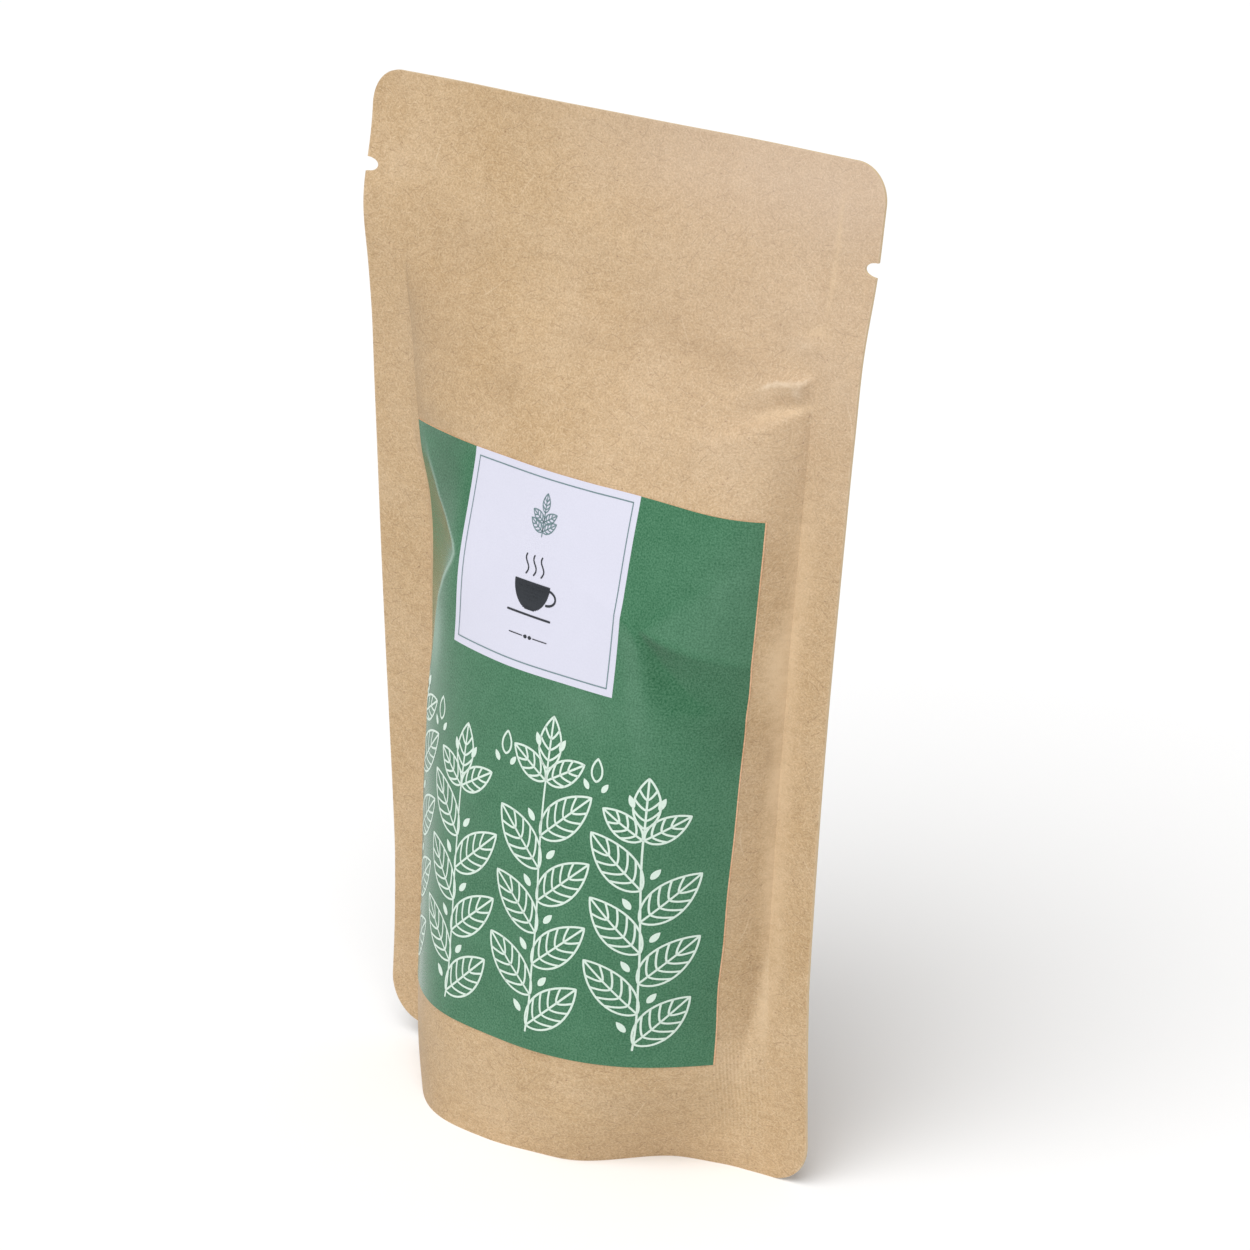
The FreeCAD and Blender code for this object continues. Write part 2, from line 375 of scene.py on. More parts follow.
def wrinkles(x, z):
    """The folds by the right seal, where the bulge ends, outwards."""
    gone = seal_line(z) - x
    bend = 0.5 * hump(gone, 6.5, 2.6) - 0.35 * hump(gone, 1.8, 1.2) \
        - 0.03 * np.maximum(gone - 8.0, 0.0) ** 2
    above = z - FOLD_LEVELS[0] + FOLD_FALL * gone - bend
    wide = 1.0 + np.clip(gone, 0.0, 12.0) / 12.0
    steep = np.exp(-(np.sqrt(above ** 2 + 0.09) - 0.3) / (0.6 * wide))
    slant = ease(1.0 + above / 4.2) * 0.4 + clamp(1.0 + above / 3.8) * 0.6
    out = FOLD_HEIGHT * np.where(above > 0.0, steep, slant) \
        * ease((gone + 0.8) / 3.6) * np.exp(-np.maximum(gone, 0.0) / 9.0) \
        * ease((17.0 - gone) / 11.0)
    return out + swell(x, z, (43.0, 148.0), (3.2, 1.8), 0.4) \
        - swell(x, z, (36.5, 145.0), (4.0, 2.2), 0.3)


def dimple_place(x, z):
    """Distances from the dimple's sharp corner: below its upper rim, to the
    right of its left rim, and straight."""
    x, z = x - DIMPLE[0], z - DIMPLE[1]
    return -(0.293 * x + 0.956 * z), 0.966 * x + 0.257 * z, np.hypot(x, z)


def dimple(x, z):
    """A three-cornered hollow under the label, sharp at its upper corner."""
    below, beside, away = dimple_place(x, z)
    inside = np.maximum(soft_min(below, beside, 0.3), 0.0)
    return 0.55 * inside * hump(away, 0.0, 13.0) \
        - 0.6 * np.exp(-np.abs(below) / 5.0) * hump(away, 0.0, 12.0)


def dimple_fold(x, z):
    """A blunt fold that runs up from the dimple's corner and dies away."""
    length, blunt = math.dist(DIMPLE, DIMPLE_RIM), 0.8
    dx, dz = ((end - start) / length for start, end in zip(DIMPLE, DIMPLE_RIM))
    x, z = x - DIMPLE[0], z - DIMPLE[1]
    along, across = (x * dx + z * dz) / length, z * dx - x * dz
    profile = np.exp((blunt - np.sqrt(across ** 2 + blunt ** 2))
                     / np.where(across > 0.0, 1.6, 3.6))
    return 0.4 * profile * np.where(along < 0.0,
                                    clamp(1.0 + along * length / 1.2) ** 2,
                                    clamp(1.0 - along) ** 1.3)


def front_relief(x, z):
    """Folds of the front sheet, outwards."""
    out = waves(x, z, 22.0, 0.10, 11) * ease(front_bulge(x, z) / 3.0)
    out = out + wrinkles(x, z) + left_rise(x, z)
    out = out - dimple(x, z) - dimple_fold(x, z)
    return out + sum(swell(x, z, *row) for row in SWELLS)


def front_y(x, z):
    """Y of the front sheet's outer face."""
    return (middle(x, z) - SEAL_THICKNESS / 2.0 - front_bulge(x, z)
            + dent(x, z) - front_relief(x, z))


def back_y(x, z):
    """Y of the back sheet's outer face."""
    relief = waves(x, z, 26.0, 0.2, 23) * ease(back_bulge(x, z) / 3.0)
    return middle(x, z) + SEAL_THICKNESS / 2.0 + back_bulge(x, z) + relief


# ---- Mesh helpers ----
def add_object(name, data, matrix=Matrix.Identity(4)):
    """An object in the scene."""
    item = bpy.data.objects.new(name, data)
    item.matrix_world = matrix
    bpy.context.scene.collection.objects.link(item)
    return item


def make_object(name, points, faces, materials, indices=None, **layers):
    """A mesh object from points in millimetres.  Of the layers, sheet holds
    each point's place on the flat paper, and the others what was done to
    it there and where highlights and shade are painted on it."""
    mesh = bpy.data.meshes.new(name)
    mesh.from_pydata((np.asarray(points) * MM).tolist(), [], faces)
    for material in materials:
        mesh.materials.append(material)
    if indices is not None:
        mesh.polygons.foreach_set("material_index", indices)
    for layer_name, values in layers.items():
        layer = mesh.attributes.new(layer_name, "FLOAT_VECTOR", "POINT")
        layer.data.foreach_set("vector", np.asarray(values, np.float32).ravel())
    mesh.polygons.foreach_set("use_smooth", [True] * len(mesh.polygons))
    mesh.set_sharp_from_angle(angle=math.radians(50.0))
    mesh.update()
    return add_object(name, mesh)


def grid_faces(index, flip=False):
    """Quads over a grid of point numbers."""
    quads = stacked(index[:-1, :-1], index[:-1, 1:], index[1:, 1:],
                    index[1:, :-1]).reshape(-1, 4)
    return (quads[:, ::-1] if flip else quads).tolist()


def sheet_rows():
    """Heights of the mesh rows: even, but closer on corners and notches."""
    turn = np.linspace(0.0, math.pi / 2.0, 26)
    top = POUCH_HEIGHT - TOP_CORNER_RADIUS * (1.0 - np.sin(turn))
    foot = FOOT_CORNER_RADIUS * (1.0 - np.sin(turn[::-1]))
    even = np.arange(foot[-1], top[0], ROW_STEP)
    even = even[np.abs(even - NOTCH_LEVEL) > NOTCH_HALF_HEIGHT + 0.1]
    turn = np.linspace(-math.pi / 2.0, math.pi / 2.0, 17)
    notch = np.append(NOTCH_HALF_HEIGHT * np.sin(turn),
                      [-NOTCH_HALF_HEIGHT - 0.02, NOTCH_HALF_HEIGHT + 0.02])
    rows = np.unique(np.concatenate([foot, even, NOTCH_LEVEL + notch, top]))
    return rows[np.diff(rows, prepend=-1.0) > 1e-4]


def sheet_columns(z):
    """X of every mesh point, rows by columns."""
    inner = seal_line(z)[:, None]
    outer = outline_half_width(z)[:, None]
    across = np.linspace(-1.0, 1.0, INNER_COLUMNS) * inner
    strip = np.linspace(0.0, 1.0, SEAL_COLUMNS)[1:]
    right = inner + (outer - inner) * strip
    return np.concatenate([-right[:, ::-1], across, right], axis=1)


def soft_box(x, z, low, high, fade):
    """1 inside a box on the sheet, fading to 0 around it."""
    inside = 1.0
    for value, start, stop in zip((x, z), low, high):
        inside = inside * ease((value - start) / fade + 0.5) \
            * ease((stop - value) / fade + 0.5)
    return inside


def over_flank(gone):
    """Distance over the paper from the right seal line, where the flank is
    steep; gone counts inwards along x."""
    return gone * np.where(gone > 0.0, 2.4, 1.0)


def rubbed_and_highlight_marks(x, z):
    """Where the front paper is made paler: a patchy streak up the right seal line, partly from
    rubbing and partly a painted highlight, and painted highlights on the seal's inner edge above
    it, on the lower fold and in a spot over it."""
    gone = seal_line(z) - x
    bulk, foot = hump(z, 93.0, 8.0), ease((38.0 - z) / 12.0)
    line = over_flank(gone) - 0.4 - 0.6 * bulk - 1.4 * foot \
        + 0.9 * ease((z - 98.0) / 8.0) + hump(z, 43.0, 7.0)
    away = np.where(line > 0.0, line / (2.0 + 2.4 * bulk + 1.4 * foot),
                    np.minimum(line + 1.2, 0.0) / 1.9)
    patchy = bulk + 0.85 * hump(z, 73.0, 5.0) + 0.5 * hump(z, 54.0, 7.0) \
        + 0.2 * hump(z, 40.0, 6.0) + 0.5 * foot
    streak = hump(away, 0.0, 1.0) * (0.52 + 0.32 * np.minimum(patchy, 1.0)) \
        * (1.0 + 0.4 * ease((gone + 0.6) / 0.8)) \
        * ease((z - 20.0) / 12.0) * ease((132.0 - z) / 20.0)
    # painted highlights: a thin line on the seal's inner edge, the light side of the lower fold,
    # and a spot of sheen over it
    edge = 0.45 * hump(gone, -0.4, 0.45) \
        * soft_box(x, z, (30.0, 154.0), (60.0, 172.0), 5.0)
    below = FOLD_LEVELS[1] - FOLD_FALL * gone - z
    ledge = 0.38 * hump(below, 0.9, 0.8 + 0.06 * np.maximum(gone, 0.0)) \
        * soft_box(gone, z, (0.0, 120.0), (8.0, 150.0), 4.0)
    spot = swell(x, z, (44.0, 150.6), (2.4, 1.0), 0.38)
    return np.clip(streak + edge + ledge + spot, 0.0, 1.1)


def shade_and_stain_marks(x, z):
    """Painted shade on the front paper: up the right flank, a fold's shadow on it, beside the line
    at the upper left, and in the dark patches, which are painted shade except for one small stain."""
    over = over_flank(seal_line(z) - x)
    # painted shade up the right flank, darkest in a band beside the seal
    painted_flank_shade = 0.1 * hump(over, 5.0, 4.0) \
        + swell(over, z, (2.9, 79.5), (1.7, 6.0), 0.15)
    painted_flank_shade = painted_flank_shade * (1.0 - hump(z, 93.0, 8.0)) \
        * ease((z - 22.0) / 16.0) * ease((134.0 - z) / 10.0)
    # painted shadow of a small fold on the flank
    fold = swell(over, z, (2.2, 77.3), (0.5, 2.2), 0.6)
    # painted shade: a dark line beside the left seal and the shade to its right
    begun = past_left_line(x, z)
    line = 0.6 * hump(begun, 0.0, 0.3) \
        + 0.45 * ease(begun) * np.exp(-np.maximum(begun, 0.0) / 4.0)
    line = line * ease((150.0 - z) / 8.0) * ease((z - 112.0) / 8.0)
    return clamp(painted_flank_shade + fold + line
                 + sum(swell(x, z, *dark_patch) for dark_patch in PAINTED_SHADE_AND_STAIN))


def painted_sheen_marks(x, z):
    """Painted sheen: the front paper is paler towards its upper right corner."""
    across = x + 25.0
    painted_sheen = 0.8 * ease(across / 75.0) * ease((z - 85.0) / 80.0) \
        + 0.5 * ease(across / 40.0) * ease((z - 158.0) / 16.0)
    return np.clip(painted_sheen, 0.0, 1.5)


def creased_and_highlight_marks(x, z):
    """Where the folds by the right seal bend the paper sharply: the paper whitens there, and the
    pale mark is also a painted highlight along the fold crests."""
    step = 0.5
    bend = 4.0 * wrinkles(x, z) - sum(
        wrinkles(x + dx, z + dz)
        for dx, dz in ((step, 0.0), (-step, 0.0), (0.0, step), (0.0, -step)))
    return clamp(bend / step ** 2 / SHARP_BEND) \
        * soft_box(seal_line(z) - x, z, (1.0, 120.0), (8.5, 160.0), 3.0)


def label_painted_light(x, z, u):
    """Painted highlights and sheen on the label, on the light facets by the dimple, along the
    facet's ridge and by its left edge; and painted shade on the facet below the dimple and in
    darker patches.
    """
    below, beside, away = dimple_place(x, z)
    # painted shade on the facet below the dimple's upper rim
    facet = 0.44 * ease(below / 1.6 + 0.4) * ease(beside / 3.0 + 0.3) \
        * ease((19.0 - below) / 14.0) * hump(away, 0.0, 30.0)
    right_of_rim = 0.668 * (x - DIMPLE[0]) - 0.746 * (z - DIMPLE[1])
    wedge = ease(-below / 1.5) * ease(right_of_rim / 2.5) * hump(away, 0.0, 17.0)
    band = hump(beside, -1.6, 2.6) * ease(below / 3.0) * ease((26.0 - below) / 16.0)
    # painted sheen along the facet's ridge
    ridge = 0.42 * hump(x, ridge_x(z), 0.5) \
        * soft_box(x, z, (-60.0, 94.0), (60.0, 113.0), 10.0)
    painted_shade = facet + swell(x, z, (38.0, 80.5), (3.2, 3.4), 0.35) \
        + swell(u, z, (10.0, 113.0), (5.5, 9.0), 0.5) \
        + swell(x, z, (36.5, 31.0), (5.0, 9.0), 0.3)
    # painted highlights and sheen, and next to them painted shade in darker patches
    pale = 0.04 * wedge + 0.04 * band + ridge \
        + swell(x, z, (-26.4, 86.0), (2.4, 6.5), 0.26) \
        + swell(u, z, (50.0, 84.0), (9.0, 4.0), 0.045) \
        + swell(u, z, (72.0, 110.0), (12.0, 9.0), 0.02)
    return clamp(stacked(pale, painted_shade, 0.0))


def sheet_layers(x, z):
    """Points, places on the flat paper, marks, rubbing, and painted highlights and shade of both
    sheets.
    """
    rim = np.minimum(outline_half_width(z) - np.abs(x), POUCH_HEIGHT - z)
    marks = stacked(rim, creased_and_highlight_marks(x, z), soft_box(x, z, *RIB_BOX, 6.0))
    wear = stacked(rubbed_and_highlight_marks(x, z), shade_and_stain_marks(x, z), painted_sheen_marks(x, z))
    layers = []
    # marks, rubbing and painted light and shade go on the front sheet only
    for surface, shift, light_and_wear in ((front_y, 0.0, 1.0), (back_y, BACK_SHEET_SHIFT, 0.0)):
        y = surface(x, z)
        over = travelled(x, y)
        over = over - over[:, x.shape[1] // 2, None] + shift
        layers.append((stacked(x, y, z + foot_lift(x, z)), stacked(over, z, 0.0),
                       marks * (1.0, light_and_wear, light_and_wear), wear * light_and_wear))
    return layers


def gusset_layer(front, back):
    """The same for the gusset, arched off the table between the feet of the
    two sheets."""
    share = np.linspace(0.0, 1.0, GUSSET_ROWS + 1)[1:-1, None]
    depth = back[:, 1] - front[:, 1]
    y = front[:, 1] + depth * share
    lift = GUSSET_RECESS * clamp(depth / (BULGE + BACK_BULGE)) ** 0.5
    points = stacked(front[:, 0], y,
                     front[:, 2] + lift * np.sin(math.pi * share) ** 0.7)
    far_from_rim = 9.0
    return (points, points * (1.0, 1.0, 0.0) + (2.0 * BACK_SHEET_SHIFT, 0.0, 0.0),
            points * 0.0 + (far_from_rim, 0.0, 0.0), points * 0.0)


def pouch_faces(rows, columns):
    """Faces over the points of front sheet, back sheet and gusset, and the
    number of each one's material."""
    front = np.arange(rows * columns).reshape(rows, columns)
    back = front + rows * columns
    faces = grid_faces(front) + grid_faces(back, flip=True)
    indices = [0] * len(faces)

    # the cut edges: up one side, over the top and down the other
    edge, behind = (np.concatenate([side[:, 0], side[-1, 1:], side[-2::-1, -1]])
                    for side in (front, back))
    faces += stacked(edge[:-1], edge[1:], behind[1:], behind[:-1]).tolist()
    indices += [1] * (len(edge) - 1)

    # the gusset, and the feet of the side seals beside it
    first, last = SEAL_COLUMNS - 1, columns - SEAL_COLUMNS
    inside = 2 * rows * columns + np.arange((GUSSET_ROWS - 1) * (last + 1 - first))
    gusset = np.concatenate([front[:1, first:last + 1],
                             inside.reshape(GUSSET_ROWS - 1, -1),
                             back[:1, first:last + 1]])
    faces += grid_faces(gusset, flip=True)
    for strip in (slice(0, first), slice(last + 1, columns)):
        faces += grid_faces(np.stack([front[0, strip], back[0, strip]]), flip=True)
    faces.append([front[0, first], front[0, first - 1], back[0, first - 1],
                  *gusset[:0:-1, 0]])
    faces.append([front[0, last + 1], *gusset[:, -1], back[0, last + 1]])
    indices += [0] * (len(faces) - len(indices))
    return [[int(i) for i in face] for face in faces], indices


def make_pouch(materials):
    """Front sheet, back sheet, cut edges and gusset as one closed mesh."""
    heights = sheet_rows()
    x = sheet_columns(heights)
    layers = sheet_layers(x, np.broadcast_to(heights[:, None], x.shape))
    between_seals = slice(SEAL_COLUMNS - 1, 1 - SEAL_COLUMNS)
    layers.append(gusset_layer(*(points[0, between_seals]
                                 for points, *_ in layers)))
    points, sheet, marks, wear = (
        np.concatenate([part.reshape(-1, 3) for part in parts])
        for parts in zip(*layers))
    faces, indices = pouch_faces(*x.shape)
    return make_object("pouch_paper", points, faces, materials, indices,
                       sheet=sheet, marks=marks, wear=wear)


# ---- Materials ----
class Nodes:
    """Short names for building a node material."""

    def __init__(self, name):
        self.material = bpy.data.materials.new(name)
        self.material.use_nodes = True
        self.tree = self.material.node_tree
        self.shader = self.tree.nodes["Principled BSDF"]

    def add(self, kind, *values, **settings):
        """A node; the values go into its first sockets, one after the other."""
        node = self.tree.nodes.new("ShaderNode" + kind)
        for key, value in settings.items():
            setattr(node, key, value)
        for socket, value in zip(node.inputs, values):
            self.put(socket, value)
        return node

    def put(self, socket, value):
        """Links a socket, or sets its number or colour."""
        if isinstance(value, bpy.types.NodeSocket):
            self.tree.links.new(value, socket)
        else:
            socket.default_value = value

    def calc(self, operation, *values):
        return self.add("Math", *values, operation=operation).outputs[0]

    def vector(self, operation, *values):
        return self.add("VectorMath", *values, operation=operation).outputs[0]

    def times(self, first, second):
        return self.calc("MULTIPLY", first, second)

    def add_scaled(self, value, scale, rest):
        return self.calc("MULTIPLY_ADD", value, scale, rest)

    def attribute(self, name):
        return self.add("Attribute", attribute_name=name).outputs["Vector"]

    def split(self, vector):
        return self.add("SeparateXYZ", vector).outputs

    def noise(self, where, size, detail=3.0, rough=0.5, stretch=(1.0, 1.0)):
        """Cloudy noise with features of about the given size in mm."""
        place = self.vector("MULTIPLY", where, (stretch[0] / size, stretch[1] / size, 0.0))
        # after the place come W, scale, detail and roughness
        return self.add("TexNoise", place, 0.0, 1.0, detail, rough,
                        noise_dimensions="2D").outputs["Fac"]

    def ramp(self, value, low, high, start=0.0, end=1.0):
        """Smooth change from start at low to end at high."""
        return self.add("MapRange", value, low, high, start, end,
                        interpolation_type="SMOOTHSTEP").outputs["Result"]

    def blend(self, share, first, second):
        """The first colour, turned into the second by a share."""
        node = self.add("Mix", share, data_type="RGBA")
        self.put(node.inputs[6], first)
        self.put(node.inputs[7], second)
        return node.outputs[2]

    def fibres(self, where, cell, length, width, seed, keep, turn=math.pi):
        """Short bent fibres at random places and angles, one to a cell.
        Lengths in mm; turn is the widest angle from level."""
        length, width = length / cell, width / cell
        place = self.vector("MULTIPLY_ADD", where, (1.0 / cell,) * 3, (seed * 7.3, seed * 3.9, 0.0))
        cells = self.add("TexVoronoi", place, 0.0, 1.0, voronoi_dimensions="2D")
        random = self.split(cells.outputs["Color"])
        apart = self.vector("SUBTRACT", place, cells.outputs["Position"])
        turned = self.add("VectorRotate", apart, rotation_type="Z_AXIS")
        self.put(turned.inputs["Angle"], self.add_scaled(random[0], 2.0 * turn, -turn))
        along, across, _ = self.split(turned.outputs[0])
        bend = self.times(self.times(along, along), self.calc("SUBTRACT", random[1], 0.5))
        across = self.calc("ABSOLUTE", self.add_scaled(bend, 1.6, across))
        line = self.ramp(across, width * 0.3, width, 1.0, 0.0)
        ends = self.ramp(self.calc("ABSOLUTE", along), length * 0.3, length * 0.5, 1.0, 0.0)
        return self.times(self.times(line, ends), self.calc("LESS_THAN", random[2], keep))

    def finish(self, colour, roughness, specular, height, relief):
        """The material, with its surface; the height's relief is in mm."""
        self.put(self.shader.inputs["Base Color"], colour)
        self.put(self.shader.inputs["Roughness"], roughness)
        self.shader.inputs["Specular IOR Level"].default_value = specular
        bump = self.add("Bump", 1.0, relief * MM)
        self.put(bump.inputs["Height"], height)
        self.put(self.shader.inputs["Normal"], bump.outputs[0])
        return self.material


def rgb(*values):
    """A screen colour, 11 to 255, as a linear colour."""
    return (*(((value / 255.0 + 0.055) / 1.055) ** 2.4 for value in values), 1.0)


def kraft_material(name):
    """Brown kraft paper: cloudy pulp, fibres, fine grain, rims paler from rubbing, folds that
    whiten at sharp bends, and pale ribs over the gusset; with painted highlights along the right
    seal and on the fold crests, painted shade in hollows and on the flanks, and a painted sheen
    towards the upper right."""
    nodes = Nodes(name)
    where = nodes.attribute("sheet")
    rim, creased_and_lit, ribs = nodes.split(nodes.attribute("marks"))
    rubbed_and_lit, shaded, painted_sheen = nodes.split(nodes.attribute("wear"))
    cloud = nodes.noise(where, 17.0)
    hue = nodes.noise(where, 9.0, 3.0, 0.55, (1.0, 1.6))
    pulp = nodes.noise(where, 1.9, 3.0, 0.6, (0.8, 1.3))
    grain = nodes.noise(where, 0.36, 2.0, 0.7, (0.8, 1.2))

    colour = nodes.blend(cloud, rgb(174, 143, 102), rgb(194, 168, 135))
    colour = nodes.blend(nodes.ramp(hue, 0.35, 0.75, 0.0, 0.5), colour, rgb(188, 159, 121))
    tone = nodes.add_scaled(pulp, 0.30, nodes.add_scaled(grain, 0.78, -0.54))
    colour = nodes.vector("MULTIPLY_ADD", tone, (0.484, 0.386, 0.273), colour)

    pale = nodes.fibres(where, 1.0, 1.3, 0.10, 1.0, 0.75)
    fine = nodes.fibres(where, 0.7, 0.9, 0.08, 2.0, 0.8)
    long_pale = nodes.fibres(where, 9.7, 6.5, 0.16, 6.0, 0.16)
    dark = nodes.fibres(where, 1.2, 1.5, 0.09, 3.0, 0.7, 1.2)
    long_dark = nodes.fibres(where, 3.1, 3.0, 0.10, 4.0, 0.5, 1.0)
    specks = nodes.fibres(where, 4.3, 0.42, 0.16, 5.0, 0.35)
    worn_rim = nodes.times(nodes.ramp(rim, 0.0, 0.45, 1.0, 0.0),
                           nodes.ramp(pulp, 0.35, 0.6, 0.0, 0.45))
    whitened_and_lit = nodes.times(creased_and_lit, nodes.ramp(pulp, 0.3, 0.7, 0.3, 0.7))
    scuffed_and_lit = nodes.times(rubbed_and_lit, nodes.ramp(pulp, 0.25, 0.7, 0.6, 0.85))
    # ribs 0.64 mm apart; the last three are distortion, detail and its scale
    comb = nodes.add("TexWave", where, 2.0 * math.pi / 20.0 / 0.64, 0.6, 2.0, 0.4,
                     wave_type="BANDS", bands_direction="X")
    combed = nodes.times(comb.outputs["Fac"], ribs)
    # Of the tints below, the pale one over rubbing is partly a painted highlight, the pale one at
    # sharp bends partly a painted highlight on the fold crests, the brown one is painted shade, and
    # the pinkish pale one is a painted sheen.
    for share, strength, tint in (
            (pale, 0.32, (218, 196, 163)), (fine, 0.28, (220, 200, 168)),
            (long_pale, 0.24, (226, 206, 176)), (dark, 0.26, (136, 106, 74)),
            (long_dark, 0.34, (122, 92, 62)), (specks, 0.5, (112, 74, 48)),
            (worn_rim, 1.0, (204, 182, 152)), (whitened_and_lit, 1.0, (216, 196, 168)),
            (painted_sheen, 0.28, (210, 190, 176)), (scuffed_and_lit, 1.0, (213, 187, 152)),
            (shaded, 0.5, (120, 92, 62)), (combed, 0.16, (232, 208, 172))):
        colour = nodes.blend(nodes.times(share, strength), colour, rgb(*tint))

    height = nodes.times(nodes.calc("ADD", pale, fine), 0.3)
    for part, share in ((grain, 0.6), (pulp, 0.5), (combed, 0.8)):
        height = nodes.add_scaled(part, share, height)
    return nodes.finish(colour, nodes.add_scaled(pulp, 0.14, 0.53), 0.4, height, 0.035)


def plain_paper(name, colour, mottle, roughness, specular=0.5, cloudy=0.0,
                light_and_wear=None):
    """Printed or plain label paper with a fine grain.  The last argument holds the colours of the
    painted highlight and of the painted shade."""
    nodes = Nodes(name)
    where = nodes.attribute("sheet")
    fine = nodes.noise(where, 0.34, 2.0, 0.7)
    broad = nodes.noise(where, 11.0, 3.0, 0.55)
    middling = nodes.noise(where, 2.6, 3.0, 0.6)
    depths = (cloudy * 0.6, cloudy * 0.7, mottle)
    tone = -sum(depths) / 2.0       # each noise is centred on 0.5
    for noise, depth in zip((broad, middling, fine), depths):
        tone = nodes.add_scaled(noise, depth, tone)
    shift = [0.5 * value + 0.5 * sum(colour[:3]) / 3.0 for value in colour[:3]]
    base = colour[:3]
    if light_and_wear is not None:
        # painted highlight and painted shade, laid over the print by the label's marks
        pale, painted_shade, _ = nodes.split(nodes.attribute("wear"))
        base = nodes.blend(painted_shade, nodes.blend(pale, colour, light_and_wear[0]), light_and_wear[1])
    return nodes.finish(nodes.vector("MULTIPLY_ADD", tone, shift, base),
                        nodes.add_scaled(fine, 0.1, roughness - 0.05), specular,
                        fine, 0.012)


kraft = kraft_material("kraft_paper")
kraft_edge = plain_paper("kraft_cut_edge", rgb(210, 186, 150), 0.3, 0.7, 0.3, 0.3)
# The last pair holds the colours of the painted highlight and of the painted shade on the label.
green_paper = plain_paper("label_green", rgb(63, 112, 82), 1.6, 0.22, 0.3, 0.4,
                          (rgb(186, 208, 196), rgb(40, 84, 56)))
white_paper = plain_paper("label_white", rgb(203, 203, 217), 0.08, 0.42, 0.4, 0.03)
line_ink = plain_paper("label_line_ink", rgb(204, 221, 209), 0.25, 0.4, 0.4)
rule_ink = plain_paper("panel_rule_ink", rgb(104, 128, 132), 0.2, 0.4, 0.4)
dark_ink = plain_paper("panel_dark_ink", rgb(40, 44, 50), 0.2, 0.4, 0.4)
label_core = plain_paper("label_cut_edge", rgb(212, 168, 132), 0.9, 0.7, 0.3, 0.8)

pouch_paper = make_pouch([kraft, kraft_edge])


# ---- The label's flat plan ----
def grid_cell(value, grid):
    """The cell of an evenly spaced grid that holds a value, and the share of
    the cell that lies before it."""
    place = (value - grid[0]) / (grid[1] - grid[0])
    cell = place.astype(int)
    return cell, place - cell


class LabelPlan:
    """Turns places on the flat label into places on the front sheet.  u runs
    from the label's left edge to its right, and v up from its foot."""

    def __init__(self):
        self.z = np.linspace(LABEL_BOTTOM - 1.0, LABEL_TOP + 1.0, 201)
        self.v = travelled(self.z, front_bulge(crest_x(self.z), self.z))
        self.v -= np.interp(LABEL_BOTTOM, self.z, self.v)
        self.height = np.interp(LABEL_TOP, self.z, self.v)
        self.u = np.linspace(-1.0, LABEL_WIDTH + 1.0, 401)
        self.x = np.empty((len(self.z), len(self.u)))
        for row, z in enumerate(self.z):
            inner = seal_line(z)
            xs = np.linspace(inner, -inner, 1501)
            over = travelled(xs, dent(xs, z) - front_bulge(xs, z))
            gap = mix(LABEL_FOOT_GAP, LABEL_TOP_GAP,
                      (z - LABEL_BOTTOM) / (LABEL_TOP - LABEL_BOTTOM))
            self.x[row] = np.interp(gap + LABEL_WIDTH - self.u, over, xs)

    def place(self, u, v, lift):
        """Points over the sheet, lifted off it along its normal."""
        droop = LABEL_DROOP * clamp(u / LABEL_WIDTH) ** 6
        z = np.interp(v, self.v, self.z) - droop * clamp(v / self.height) ** 2
        row, row_share = grid_cell(z, self.z)
        column, column_share = grid_cell(u, self.u)
        x = mix(*(mix(self.x[r, column], self.x[r, column + 1], column_share)
                  for r in (row, row + 1)), row_share)
        step = 0.15
        y = front_y(x, z)
        slope_x = (front_y(x + step, z) - front_y(x - step, z)) / (2.0 * step)
        slope_z = (front_y(x, z + step) - front_y(x, z - step)) / (2.0 * step)
        out = lift / np.sqrt(slope_x ** 2 + slope_z ** 2 + 1.0)
        return stacked(x + out * slope_x, y - out,
                       z + out * slope_z + foot_lift(x, z))


plan = LabelPlan()
PANEL_U = (LABEL_WIDTH - PANEL_RIGHT - PANEL_WIDTH, LABEL_WIDTH - PANEL_RIGHT)
PANEL_V = (plan.height - PANEL_HEIGHT, plan.height)


def steps(start, end, spacing):
    """Evenly spaced places from start to end, at most the spacing apart."""
    return np.linspace(start, end, int(math.ceil((end - start) / spacing)) + 1)


